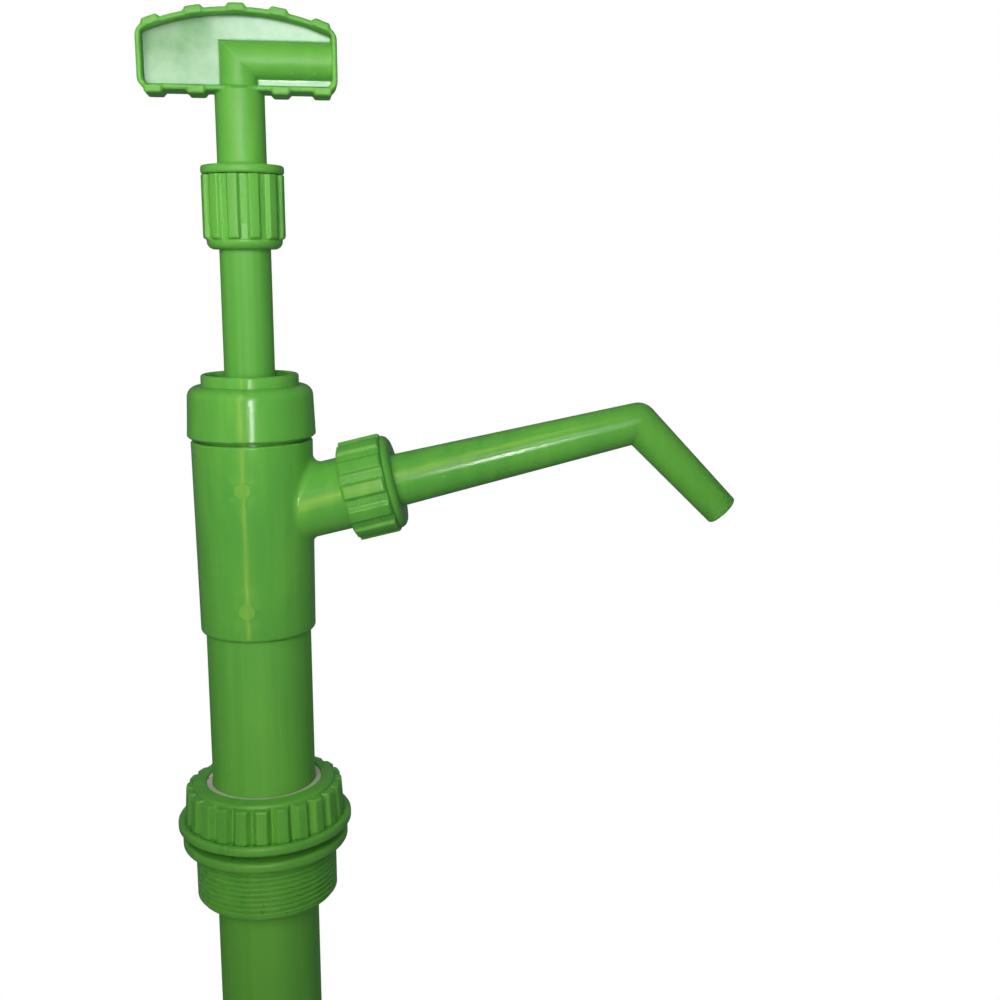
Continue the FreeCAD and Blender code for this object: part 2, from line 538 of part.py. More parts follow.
def foot_gasket():
    return ring(TUBE_R, TUBE_BORE_R, TUBE_BOTTOM - GASKET_T, TUBE_BOTTOM)


def foot_pin():
    reach = FOOT_WAIST_R + 0.4
    pin = Part.makeCylinder(FOOT_PIN_R, 2 * reach, vec(-reach, 0, foot_pin_height()), vec(1, 0, 0))
    return pin.makeFillet(0.3, pin.Edges[:1] + pin.Edges[2:])


def foot_ball():
    height = seated_ball_height(FOOT_THROAT_R, FOOT_SEAT_Z, FOOT_BALL_R)
    return Part.makeSphere(FOOT_BALL_R, vec(0, 0, height))


def foot_strainer():
    """Shallow perforated cup that snaps in under the foot valve's seat."""
    rim_r, plate_z = FOOT_SKIRT_BORE_R - FIT, FOOT_SHELF_Z - 6
    cup = turned([
        (0, plate_z), (rim_r, plate_z, 0.6), (rim_r, FOOT_SHELF_Z), (rim_r - 1.8, FOOT_SHELF_Z),
        (rim_r - 1.8, plate_z + 1.8), (0, plate_z + 1.8),
    ])
    holes = [cylinder(1.5, plate_z, plate_z + 2)]
    for radius, count in ((4.6, 6), (9.0, 12), (13.2, 18)):
        holes += [moved(cylinder(1.4, plate_z, plate_z + 2), x=radius * math.cos(2 * math.pi * i / count),
                        y=radius * math.sin(2 * math.pi * i / count)) for i in range(count)]
    return cup.cut(holes)


PIECES = [
    bung_body, bung_nut, clamp_ring, pump_tube, tee_body, tee_cap, cap_gasket, guide_bush, rod_wiper,
    spout_seal, spout, spout_nut, rod, rod_stop, rod_nut, stem_seal, handle_grip, piston_body,
    piston_seal, piston_cage, piston_ball, foot_body, foot_gasket, foot_pin, foot_ball, foot_strainer,
]


def main():
    os.makedirs("parts", exist_ok=True)
    for make in PIECES:
        shape = make()
        name = make.__name__
        if not shape.isValid() or len(shape.Solids) != 1:
            raise ValueError(name + " is not one valid solid")
        shape.Solids[0].exportStep("parts/" + name + ".step")
        size = shape.BoundBox
        print("%-14s %9.1f mm3  z %8.2f to %8.2f" % (name, shape.Volume, size.ZMin, size.ZMax))


main()
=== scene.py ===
import json
import math

import bpy
import numpy as np
import openvdb
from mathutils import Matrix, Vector


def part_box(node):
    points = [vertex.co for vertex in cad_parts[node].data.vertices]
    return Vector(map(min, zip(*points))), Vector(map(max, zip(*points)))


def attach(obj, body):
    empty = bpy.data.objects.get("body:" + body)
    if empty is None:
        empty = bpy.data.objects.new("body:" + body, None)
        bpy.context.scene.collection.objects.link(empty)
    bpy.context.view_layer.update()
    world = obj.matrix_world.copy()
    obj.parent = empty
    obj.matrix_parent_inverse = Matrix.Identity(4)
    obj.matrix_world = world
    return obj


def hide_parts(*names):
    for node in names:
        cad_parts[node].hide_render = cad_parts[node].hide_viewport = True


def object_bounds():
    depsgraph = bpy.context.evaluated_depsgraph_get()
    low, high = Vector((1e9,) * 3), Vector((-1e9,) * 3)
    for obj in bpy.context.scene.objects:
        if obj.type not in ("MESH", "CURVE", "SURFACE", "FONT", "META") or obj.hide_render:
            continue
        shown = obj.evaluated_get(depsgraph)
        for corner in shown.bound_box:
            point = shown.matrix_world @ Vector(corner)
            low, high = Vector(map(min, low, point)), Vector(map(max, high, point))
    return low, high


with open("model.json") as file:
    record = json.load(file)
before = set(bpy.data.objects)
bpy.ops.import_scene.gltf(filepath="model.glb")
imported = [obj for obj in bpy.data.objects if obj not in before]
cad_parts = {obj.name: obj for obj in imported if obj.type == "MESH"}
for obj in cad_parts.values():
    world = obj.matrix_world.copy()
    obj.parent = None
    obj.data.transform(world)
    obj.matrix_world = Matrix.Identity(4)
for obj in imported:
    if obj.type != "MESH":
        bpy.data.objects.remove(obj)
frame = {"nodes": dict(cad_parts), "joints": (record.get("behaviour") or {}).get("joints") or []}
cad_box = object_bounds()

# The looks of a lift-action drum pump. Shapes are worked out in millimetres in the frame's
# own axes and stored in metres. Where a piece of the frame has the right shape it stays
# and gets a material; where it needs finer form it is replaced by a mesh built here.

scene = bpy.context.scene
MM = 0.001
FILLET_STEPS = 5                     # points on each fillet of a turned profile
SURFACE_PASSES = 3                   # times that a field's mesh is moved onto its surface

# ---- Sizes, in millimetres; angles in radians ------------------------------------------
GRIP_TURN = math.radians(9)          # the grip's rest angle about the pump's axis
ARCH_R, ARCH_Z = 91.66, 241.54       # radius and centre height of the grip's arched top
GRIP_FOOT, GRIP_HALF_WIDTH, GRIP_HALF_DEPTH = 303.1, 37.0, 7.5
GRIP_RIM, WEB_HALF_DEPTH = 2.1, 1.5
GRIP_TUBE_Z, GRIP_TUBE_R, GRIP_TUBE_BORE_R = 314.95, 7.05, 4.8
PAD_PITCH, PAD_HALF_WIDTH, PAD_HALF_DEPTH = 15.65, 3.35, 8.0
PAD_HEIGHT, PAD_ROOT, PAD_ROUND = 1.3, 1.5, 1.1
STEM_R, STEM_BOTTOM = 9.4, 260.0
STEM_FLANGE_R, STEM_FLANGE_Z, STEM_FLANGE_HALF = 15.85, 274.6, 1.7
SPIGOT_R, SPIGOT_BOTTOM, SPIGOT_TOP = 12.4, 253.5, 274.0

SPOUT_ROOT, SPOUT_FLANGE_TOP, SPOUT_FLANGE_R = 53.6, 56.4, 14.0    # first two along the branch
ELBOW_ALONG, OUTLET_LENGTH, OUTLET_DROP = 158.5, 50.0, math.radians(45.9)
SPOUT_START_R, SPOUT_ELBOW_R, SPOUT_MOUTH_R = 10.7, 8.05, 6.85
SPOUT_START_BORE_R, SPOUT_BORE_R = 7.6, 5.0

THREAD_CREST_R, THREAD_DEPTH, THREAD_PITCH, THREAD_LAND = 29.2, 1.15, 2.21, 0.16


def span(node):
    """Low and high corner of a frame node, in millimetres."""
    low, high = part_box(node)
    return np.array(low) / MM, np.array(high) / MM


def joint(name):
    return next(j for j in frame["joints"] if j["name"] == name)


# ---- Meshes ----------------------------------------------------------------------------
def mesh_object(name, points, faces, normals=None):
    """Object from points in millimetres, with smooth faces that look outwards."""
    mesh = bpy.data.meshes.new(name)
    mesh.from_pydata((np.asarray(points) * MM).tolist(), [], np.asarray(faces).tolist())
    mesh.shade_smooth()
    if normals is not None:
        mesh.normals_split_custom_set_from_vertices(normals.tolist())
    piece = bpy.data.objects.new(name, mesh)
    scene.collection.objects.link(piece)
    return piece


def grid_object(name, rows):
    """Closed ring-shaped skin from a closed loop of closed rows of points."""
    rows = np.asarray(rows)
    count, around = rows.shape[:2]
    i, j = np.meshgrid(np.arange(count), np.arange(around), indexing="ij")
    i_next, j_next = (i + 1) % count, (j + 1) % around
    here, ahead = i * around, i_next * around
    faces = np.stack([here + j, here + j_next, ahead + j_next, ahead + j], -1)
    return mesh_object(name, rows.reshape(-1, 3), faces.reshape(-1, 4))


def rounded(corners):
    """Points (r, z) round a closed loop, counter-clockwise.

    A corner is (r, z), or (r, z, fillet radius).
    """
    points = []
    for k, corner in enumerate(corners):
        here = np.array(corner[:2], float)
        radius = corner[2] if len(corner) > 2 else 0.0
        if radius == 0:
            points.append(here)
            continue
        back = np.array(corners[k - 1][:2], float) - here
        ahead = np.array(corners[(k + 1) % len(corners)][:2], float) - here
        back, ahead = back / np.linalg.norm(back), ahead / np.linalg.norm(ahead)
        half = math.acos(np.clip(back @ ahead, -1, 1)) / 2
        inward = (back + ahead) / np.linalg.norm(back + ahead)
        centre = here + inward * radius / math.sin(half)
        start = here + back * radius / math.tan(half) - centre
        end = here + ahead * radius / math.tan(half) - centre
        for t in np.linspace(0, 1, FILLET_STEPS):
            aim = start * (1 - t) + end * t
            points.append(centre + aim / np.linalg.norm(aim) * radius)
    return points


def full_turn(steps):
    return np.arange(steps) * 2 * math.pi / steps


def ring_row(r, z, angles):
    return np.stack([r * np.cos(angles), r * np.sin(angles), np.full_like(angles, z)], -1)


def plain_rows(corners, angles):
    """Round rows through a rounded profile."""
    return [ring_row(r, z, angles) for r, z in rounded(corners)]


def placed(rows, direction, origin):
    """Rows built up +Z, carried to an axis through origin; local Y keeps its direction."""
    along = np.array(direction, float)
    side = np.array([along[2], 0.0, -along[0]])
    basis = np.stack([side, np.array([0.0, 1.0, 0.0]), along])
    return [row @ basis + np.array(origin) for row in rows]


# ---- Solid shapes from distance fields -------------------------------------------------
def rounded_and(a, b, radius):
    """Intersection of two solids with its edge rounded."""
    u, v = np.maximum(radius + a, 0), np.maximum(radius + b, 0)
    return np.minimum(-radius, np.maximum(a, b)) + np.sqrt(u * u + v * v)


def rounded_or(a, b, radius):
    """Union of two solids with its inside corner filled by a fillet."""
    u, v = np.maximum(radius - a, 0), np.maximum(radius - b, 0)
    return np.maximum(radius, np.minimum(a, b)) - np.sqrt(u * u + v * v)


def rounded_cut(a, b, radius):
    """Solid a less solid b, with the cut's rim rounded."""
    return rounded_and(a, -b, radius)


def field_object(name, field, low, high, step):
    """Skin of the solid where field(x, y, z) < 0.

    It is meshed on a grid of the given step and then laid on the true surface.
    """
    axes = [np.arange(a - 2 * step, b + 2 * step, step) for a, b in zip(low, high)]
    x, y, z = np.meshgrid(*axes, indexing="ij", sparse=True)
    values = np.broadcast_to(field(x, y, z), [len(a) for a in axes])
    grid = openvdb.FloatGrid(background=3 * step)
    grid.copyFromArray(np.ascontiguousarray(np.clip(values, -3 * step, 3 * step), np.float32))
    points, quads = grid.convertToQuads(0.0)
    points = points * step + np.array([a[0] for a in axes])
    for _ in range(SURFACE_PASSES):
        distance, slope = distance_and_slope(field, points)
        points = points - np.clip(distance, -step, step)[:, None] * slope
    normals = distance_and_slope(field, points)[1]
    corner = points[quads]
    facing = np.cross(corner[:, 1] - corner[:, 0], corner[:, 3] - corner[:, 0])
    if (facing * normals[quads[:, 0]]).sum() < 0:
        quads = quads[:, ::-1]
    return mesh_object(name, points, quads, normals)


def distance_and_slope(field, points):
    """Field values and unit gradients at points."""
    near = 0.02
    x, y, z = points.T
    slope = np.stack([
        field(x + near, y, z) - field(x - near, y, z),
        field(x, y + near, z) - field(x, y - near, z),
        field(x, y, z + near) - field(x, y, z - near),
    ], -1)
    slope /= np.maximum(np.linalg.norm(slope, axis=1, keepdims=True), 1e-9)
    return field(x, y, z), slope


# ---- Ribbed nuts -----------------------------------------------------------------------
def soft_step(t):
    t = np.clip(t, 0, 1)
    return t * t * (3 - 2 * t)


def rib_pattern(angles, count, width, radius, start, edge):
    """1 on a rib, 0 in a valley, with soft flanks; width and edge in millimetres at radius."""
    pitch = 2 * math.pi / count
    away = np.abs((angles - math.radians(start) + pitch / 2) % pitch - pitch / 2) * radius
    return soft_step((width / 2 - away) / edge + 0.5)


def ribbed_rows(low, high, angles, ribs, end_round, steps=26):
    """Rows of the ribbed band: low and high are (z, valley radius, rib radius).

    end_round is how far the ribs round off at the low and the high end.
    """
    rows = []
    for t in 0.5 - 0.5 * np.cos(np.linspace(0, math.pi, steps)):
        z, valley, rib = (a * (1 - t) + b * t for a, b in zip(low, high))
        drop = 0.0
        for end, size in ((low[0], end_round[0]), (high[0], end_round[1])):
            if size > 0:
                reach = np.clip(1 - abs(z - end) / size, 0, 1)
                drop += (1 - math.sqrt(1 - reach * reach)) * size
        out = max(rib - valley - drop, 0.0)
        rows.append(ring_row(valley + out * ribs, z, angles))
    return rows


def make_bung_nut():
    """Clamp nut: 24 broad ribs with narrow valleys between the flange and the raised top."""
    low, high = span("bung_nut")
    foot, outer = low[2], high[0]
    angles = full_turn(960)
    ribs = rib_pattern(angles, count=24, width=5.7, radius=31.0, start=-82.0, edge=2.3)
    bore, lip, valley = 27.7, 23.85, 29.2
    flange_top, band_top, lip_z = foot + 3.8, foot + 17.6, foot + 15.0
    flange = plain_rows([
        (bore, foot, 0), (outer, foot, 1.2), (outer, flange_top + 0.3, 1.2),
        (31.2, flange_top, 0)], angles)
    band = ribbed_rows(
        (flange_top, 30.7, 32.9), (band_top, valley, 32.1), angles, ribs, end_round=(0.0, 0.9))
    shoulder = [
        ring_row(valley + 2.0 * k * ribs, band_top + 0.05 + 0.05 * (1 - k), angles)
        for k in (0.8, 0.4)]
    top = plain_rows([
        (valley, band_top + 0.1), (29.1, band_top + 1.3, 1.0), (lip, band_top + 2.1, 0.5),
        (lip, lip_z), (bore, lip_z)], angles)
    return grid_object("bung_nut_skin", flange + band + shoulder + top)


def make_rod_nut():
    """Nut under the handle: 12 ribs that end in a rounded cup."""
    low, high = span("rod_nut")
    foot, top = low[2], high[2]
    angles = full_turn(576)
    ribs = rib_pattern(angles, count=12, width=4.5, radius=15.4, start=-64.0, edge=1.3)
    hole, bore, cup_r, valley, rib = 10.02, 12.5, 14.55, 14.3, 15.9
    cup_top, floor = foot + 3.7, foot + 4.2
    cup = plain_rows([
        (hole, foot + 0.8), (10.6, foot), (cup_r, foot, 3.0), (cup_r, cup_top, 0)], angles)
    band = ribbed_rows(
        (cup_top + 0.05, valley, rib), (top - 0.1, valley, rib), angles, ribs,
        end_round=(1.3, 0.0), steps=30)
    inside = plain_rows([(14.0, top), (bore, top), (bore, floor), (hole, floor)], angles)
    return grid_object("rod_nut_skin", cup + band + inside)


def make_spout_nut():
    """Union nut on the branch, built up its own axis and then laid along it."""
    hinge = joint("spout_nut_turn")
    angles = full_turn(576)
    ribs = rib_pattern(angles, count=12, width=5.9, radius=19.6, start=-97.5, edge=1.7)
    start, end = 39.0, 59.7
    bore, hole, rim_r, valley, rib = 14.7, 10.8, 18.2, 18.9, 20.15
    rim = plain_rows([(bore, start), (rim_r, start, 0.4), (rim_r, start + 0.8)], angles)
    band = ribbed_rows(
        (start + 0.85, valley, rib), (end - 3.2, valley, rib), angles, ribs,
        end_round=(0.5, 1.2), steps=28)
    shoulder = plain_rows([
        (18.95, end - 3.1), (18.95, end - 3.0), (19.0, end, 3.0), (hole, end, 0.5),
        (hole, end - 2.4), (bore, end - 2.4)], angles)
    rows = placed(rim + band + shoulder, hinge["axis"], np.array(hinge["pos_m"]) / MM)
    return grid_object("spout_nut_skin", rows)


# ---- Spout -----------------------------------------------------------------------------
def spout_field(x, y, z):
    """Tapered arm along the branch, ball elbow, tapered outlet leg with a round mouth, bored."""
    hinge = joint("spout_nut_turn")
    (arm_x, _, arm_z), (root_x, _, root_z) = hinge["axis"], np.array(hinge["pos_m"]) / MM
    root, flange_top, elbow, drop = SPOUT_ROOT, SPOUT_FLANGE_TOP, ELBOW_ALONG, OUTLET_DROP
    arm_taper = (SPOUT_START_R - SPOUT_ELBOW_R) / (elbow - flange_top)
    leg_taper = (SPOUT_ELBOW_R - SPOUT_MOUTH_R) / OUTLET_LENGTH
    bore_taper = (SPOUT_START_BORE_R - SPOUT_BORE_R) / (elbow - root)
    along = (x - root_x) * arm_x + (z - root_z) * arm_z
    around = np.sqrt(((x - root_x) * arm_z - (z - root_z) * arm_x) ** 2 + y * y)
    arm = around - SPOUT_START_R + arm_taper * (along - flange_top)
    arm = np.maximum(arm, np.maximum(root - along, along - elbow))
    flange = np.maximum(around - SPOUT_FLANGE_R, np.maximum(root - along, along - flange_top))
    elbow_x, elbow_z = x - root_x - elbow * arm_x, z - root_z - elbow * arm_z
    ball = np.sqrt(elbow_x ** 2 + elbow_z ** 2 + y * y)
    down = elbow_x * math.cos(drop) - elbow_z * math.sin(drop)
    beside = np.sqrt((elbow_x * math.sin(drop) + elbow_z * math.cos(drop)) ** 2 + y * y)
    leg = rounded_and(beside - SPOUT_ELBOW_R + leg_taper * down, down - OUTLET_LENGTH, 0.9)
    bend = np.minimum(ball - SPOUT_ELBOW_R, np.maximum(leg, -down))
    whole = np.minimum(np.minimum(arm, flange), bend)
    arm_bore = np.maximum(around - SPOUT_START_BORE_R + bore_taper * (along - root), along - elbow)
    leg_bore = np.maximum(beside - SPOUT_BORE_R, -down)
    bore = np.minimum(np.minimum(arm_bore, ball - SPOUT_BORE_R), leg_bore)
    return rounded_cut(whole, bore, 0.4)


def make_spout():
    low, high = span("spout")
    return field_object("spout_skin", spout_field, low, high, step=0.5)


# ---- Bung adapter ----------------------------------------------------------------------
def make_bung_body():
    """Adapter with a true right-handed thread of 11.5 turns per inch below its flange."""
    low, high = span("bung_body")
    foot, top, outer = low[2], high[2], high[0]
    angles = full_turn(240)
    crest, land, neck, bore, lead = THREAD_CREST_R, THREAD_LAND, 27.6, 21.6, 28.3
    below = plain_rows([(bore, foot), (lead, foot, 0.7), (lead, foot + 1.5, 0.3)], angles)
    thread = []
    for z in np.arange(foot + 1.6, -0.9, 0.13):
        fade = soft_step((z - foot - 1.5) / 0.8) * soft_step((-0.8 - z) / 0.8)
        phase = (z / THREAD_PITCH - angles / (2 * math.pi)) % 1.0
        groove = np.clip((0.5 - np.abs(phase - 0.5) - land) / (0.5 - land), 0, 1)
        groove = groove * groove * (1.6 - 0.6 * groove) * 0.999
        thread.append(ring_row(crest - THREAD_DEPTH * fade * groove, z, angles))
    above = plain_rows([
        (crest, -0.5), (crest, 0.0, 0.3), (outer, 0.0, 1.4), (outer, 4.3, 1.4), (neck, 4.3, 0.4),
        (neck, top, 0.4), (25.6, top), (21.8, 9.5), (bore, 8.5)], angles)
    return grid_object("bung_body_skin", below + thread + above)


# ---- Handle ----------------------------------------------------------------------------
def handle_field(x, y, z):
    """D-shaped grip with a rim, a thin web, an elbow of tube, soft pads and the stem below."""
    across = x * math.cos(GRIP_TURN) + y * math.sin(GRIP_TURN)
    depth = np.abs(y * math.cos(GRIP_TURN) - x * math.sin(GRIP_TURN))
    foot, arch_z, arch_r, tube_z = GRIP_FOOT, ARCH_Z, ARCH_R, GRIP_TUBE_Z
    lean = np.sqrt(across * across + (z - arch_z) ** 2)
    outline = rounded_and(np.abs(across) - GRIP_HALF_WIDTH, foot - z, 4.5)
    outline = rounded_and(outline, lean - arch_r, 3.0)
    grip = rounded_and(outline, depth - GRIP_HALF_DEPTH, 1.0)
    pocket = rounded_and(outline + GRIP_RIM, WEB_HALF_DEPTH - depth, 0.5)
    grip = rounded_cut(grip, pocket, 0.9)
    upright = np.sqrt(across * across + depth * depth) - GRIP_TUBE_R
    level = np.sqrt((z - tube_z) ** 2 + depth * depth) - GRIP_TUBE_R
    past = across + z - tube_z
    tube = np.where(past < 0, upright, level)
    tube = np.maximum(tube, np.maximum(outline + 0.8, foot + 0.5 - z))
    grip = rounded_or(grip, tube, 0.4)
    for step in (-2, -1, 0, 1, 2):
        angle = math.asin(step * PAD_PITCH / arch_r)
        side = across * math.cos(angle) - (z - arch_z) * math.sin(angle)
        out = across * math.sin(angle) + (z - arch_z) * math.cos(angle) - arch_r
        grip = rounded_or(grip, grip_pad(side, out, depth), 0.9)
        grip = rounded_or(grip, grip_pad(across - step * PAD_PITCH, foot - z, depth), 0.9)
    around = np.sqrt(x * x + y * y)
    stem = np.maximum(around - STEM_R, np.maximum(z - foot - 1.0, STEM_BOTTOM - z))
    flange = rounded_and(around - STEM_FLANGE_R, np.abs(z - STEM_FLANGE_Z) - STEM_FLANGE_HALF, 1.1)
    stem = rounded_or(stem, flange, 1.4)
    spigot = rounded_and(around - SPIGOT_R, np.maximum(SPIGOT_BOTTOM - z, z - SPIGOT_TOP), 0.4)
    whole = np.minimum(rounded_or(grip, stem, 0.8), spigot)
    bore = np.where(past < 0, upright, np.where(across > 0, level, 9.0))
    return np.maximum(whole, GRIP_TUBE_BORE_R - GRIP_TUBE_R - bore)


def grip_pad(side, out, depth):
    """Low soft block that stands out of the rim."""
    block = rounded_and(np.abs(side) - PAD_HALF_WIDTH, out - PAD_HEIGHT, PAD_ROUND)
    return np.maximum(rounded_and(block, depth - PAD_HALF_DEPTH, PAD_ROUND), -PAD_ROOT - out)


def make_handle():
    low, high = span("handle_grip")
    return field_object("handle_grip_skin", handle_field, low, high, step=0.45)


# ---- Materials -------------------------------------------------------------------------
def new_material(name):
    material = bpy.data.materials.new(name)
    material.use_nodes = True
    tree = material.node_tree
    shader = tree.nodes["Principled BSDF"]
    return material, tree, shader


def linked(tree, kind, inputs=None, **settings):
    """New node with its settings; inputs maps a socket to a value or to another node's output."""
    node = tree.nodes.new(kind)
    for key, value in settings.items():
        setattr(node, key, value)
    for key, value in (inputs or {}).items():
        if isinstance(value, bpy.types.NodeSocket):
            tree.links.new(value, node.inputs[key])
        else:
            node.inputs[key].default_value = value
    return node


def stretched_noise(tree, scale, stretch=(1, 1, 1), detail=4.0, roughness=0.55):
    """Noise in the piece's own coordinates; scale is in cycles per metre."""
    place = linked(tree, "ShaderNodeTexCoord").outputs["Object"]
    mapped = linked(tree, "ShaderNodeMapping", {"Vector": place, "Scale": stretch})
    noise = linked(tree, "ShaderNodeTexNoise", {
        "Vector": mapped.outputs["Vector"],
        "Scale": scale, "Detail": detail, "Roughness": roughness})
    return noise.outputs["Fac"]


def remapped(tree, value, low, high, to_low, to_high):
    node = linked(tree, "ShaderNodeMapRange", {
        "Value": value, "From Min": low, "From Max": high, "To Min": to_low, "To Max": to_high})
    return node.outputs["Result"]


def mixed_colour(tree, factor, first, second):
    node = linked(tree, "ShaderNodeMix", data_type="RGBA", blend_type="MIX")
    for key, value in (("Factor_Float", factor), ("A_Color", first), ("B_Color", second)):
        socket = next(s for s in node.inputs if s.identifier == key)
        if isinstance(value, bpy.types.NodeSocket):
            tree.links.new(value, socket)
        else:
            socket.default_value = value
    return next(s for s in node.outputs if s.identifier == "Result_Color")


def calculated(tree, operation, first, second):
    return linked(tree, "ShaderNodeMath", {0: first, 1: second}, operation=operation).outputs[0]


def vector_maths(tree, operation, *values, output=0):
    node = linked(tree, "ShaderNodeVectorMath", dict(enumerate(values)), operation=operation)
    return node.outputs[output]


def bumped(tree, layers):
    """Chain of bumps from (height, distance in metres) layers."""
    normal = None
    for height, distance in layers:
        inputs = {"Height": height, "Distance": distance, "Strength": 1.0}
        if normal is not None:
            inputs["Normal"] = normal
        normal = linked(tree, "ShaderNodeBump", inputs).outputs["Normal"]
    return normal


GREEN = (0.128, 0.440, 0.066, 1.0)
GREEN_DEEP = (0.094, 0.362, 0.058, 1.0)
GREEN_WARM = (0.172, 0.492, 0.072, 1.0)
# colour of rubbed edges, and also of the painted glints in the nuts' valleys
GREEN_WORN_AND_GLINT = (0.240, 0.560, 0.140, 1.0)
# the web's pale colours are painted light: the backdrop's light shining through the thin web
WEB_PAINTED_BACKLIGHT = (0.300, 0.500, 0.320, 1.0)
WEB_PAINTED_BACKLIGHT_DEEP = (0.200, 0.400, 0.220, 1.0)
DARK_SPECK = (0.030, 0.060, 0.020, 1.0)
STEEL, STEEL_DEEP = (0.66, 0.66, 0.65, 1.0), (0.46, 0.46, 0.47, 1.0)


def soft_inside(shader, weight):
    """A little light scattered under the skin, as in unfilled polypropylene."""
    shader.inputs["Subsurface Weight"].default_value = weight
    shader.inputs["Subsurface Radius"].default_value = (0.6, 1.0, 0.3)
    shader.inputs["Subsurface Scale"].default_value = 0.002


def green_moulding(name, roughness=0.17, grain=0.00003):
    """Glossy moulded polypropylene: cloudy colour, flow marks, orange peel and rubbed edges."""
    material, tree, shader = new_material(name)
    cloud = stretched_noise(tree, 26, (1, 1, 0.35), 3)
    flow = stretched_noise(tree, 160, (1, 1, 0.12), 5, 0.6)
    base = mixed_colour(tree, remapped(tree, cloud, 0.35, 0.65, 0, 1), GREEN_DEEP, GREEN)
    base = mixed_colour(tree, remapped(tree, flow, 0.45, 0.75, 0, 0.45), base, GREEN_WARM)
    edge = linked(tree, "ShaderNodeNewGeometry").outputs["Pointiness"]
    rub = remapped(tree, edge, 0.53, 0.62, 0, 0.5)
    base = mixed_colour(tree, rub, base, GREEN_WORN_AND_GLINT)
    tree.links.new(base, shader.inputs["Base Color"])
    smear = stretched_noise(tree, 70, (1, 1, 0.5), 6, 0.65)
    rough = remapped(tree, smear, 0.3, 0.7, roughness - 0.04, roughness + 0.05)
    tree.links.new(rough, shader.inputs["Roughness"])
    peel = stretched_noise(tree, 420, (1, 1, 1), 2)
    grit = stretched_noise(tree, 3200, (1, 1, 1), 2)
    normal = bumped(tree, [(peel, 1.5 * grain), (grit, grain * 0.4)])
    tree.links.new(normal, shader.inputs["Normal"])
    shader.inputs["Specular IOR Level"].default_value = 0.5
    soft_inside(shader, 0.06)
    return material


def green_nut(name, hinge, valley, low, high, roughness=0.30):
    """Satin moulding whose valleys between the ribs have a spark-eroded grain, its sparkle painted
    in as lighter flecks.

    A valley lies within the radius `valley` of the hinge's axis, between low and high along it.
    """
    material = green_moulding(name, roughness)
    tree = material.node_tree
    shader = tree.nodes["Principled BSDF"]
    place = linked(tree, "ShaderNodeTexCoord").outputs["Object"]
    away = vector_maths(tree, "SUBTRACT", place, hinge["pos_m"])
    along = vector_maths(tree, "DOT_PRODUCT", away, hinge["axis"], output="Value")
    sweep = vector_maths(tree, "CROSS_PRODUCT", away, hinge["axis"])
    reach = vector_maths(tree, "LENGTH", sweep, output="Value")
    deep = remapped(tree, reach, valley - 0.0002, valley + 0.0001, 1, 0)
    level = calculated(tree, "MULTIPLY", remapped(tree, along, low, low + 0.0003, 0, 1),
                       remapped(tree, along, high - 0.0003, high, 1, 0))
    inside = calculated(tree, "MULTIPLY", deep, level)
    grain = stretched_noise(tree, 1700, (1, 1, 1), 2, 0.7)
    base = shader.inputs["Base Color"].links[0].from_socket
    # painted glints: lighter flecks that stand in for the grain's sparkle
    painted_glint = calculated(tree, "MULTIPLY", remapped(tree, grain, 0.56, 0.66, 0, 0.55), inside)
    tree.links.new(mixed_colour(tree, painted_glint, base, GREEN_WORN_AND_GLINT), shader.inputs["Base Color"])
    normal = shader.inputs["Normal"].links[0].from_socket
    relief = calculated(tree, "MULTIPLY", grain, inside)
    bump = linked(tree, "ShaderNodeBump", {
        "Height": relief, "Distance": 0.00022, "Strength": 1.0, "Normal": normal})
    tree.links.new(bump.outputs["Normal"], shader.inputs["Normal"])
    return material


def green_tube(name):
    """Satin drawn tube: draw lines along it, dull handling marks."""
    material, tree, shader = new_material(name)
    cloud = stretched_noise(tree, 22, (1, 1, 0.3), 3)
    draw = stretched_noise(tree, 420, (1, 1, 0.01), 4, 0.6)
    base = mixed_colour(tree, remapped(tree, cloud, 0.35, 0.65, 0, 1), GREEN_DEEP, GREEN)
    base = mixed_colour(tree, remapped(tree, draw, 0.4, 0.7, 0, 0.35), base, GREEN_WARM)
    speck = stretched_noise(tree, 210, (1, 1, 1), 1)
    base = mixed_colour(tree, remapped(tree, speck, 0.80, 0.84, 0, 0.7), base, DARK_SPECK)
    tree.links.new(base, shader.inputs["Base Color"])
    smear = stretched_noise(tree, 60, (1, 1, 0.4), 6, 0.65)
    tree.links.new(remapped(tree, smear, 0.3, 0.7, 0.50, 0.62), shader.inputs["Roughness"])
    grit = stretched_noise(tree, 2600, (1, 1, 1), 2)
    tree.links.new(bumped(tree, [(draw, 0.00003), (grit, 0.00003)]), shader.inputs["Normal"])
    shader.inputs["Specular IOR Level"].default_value = 0.35
    soft_inside(shader, 0.05)
    return material


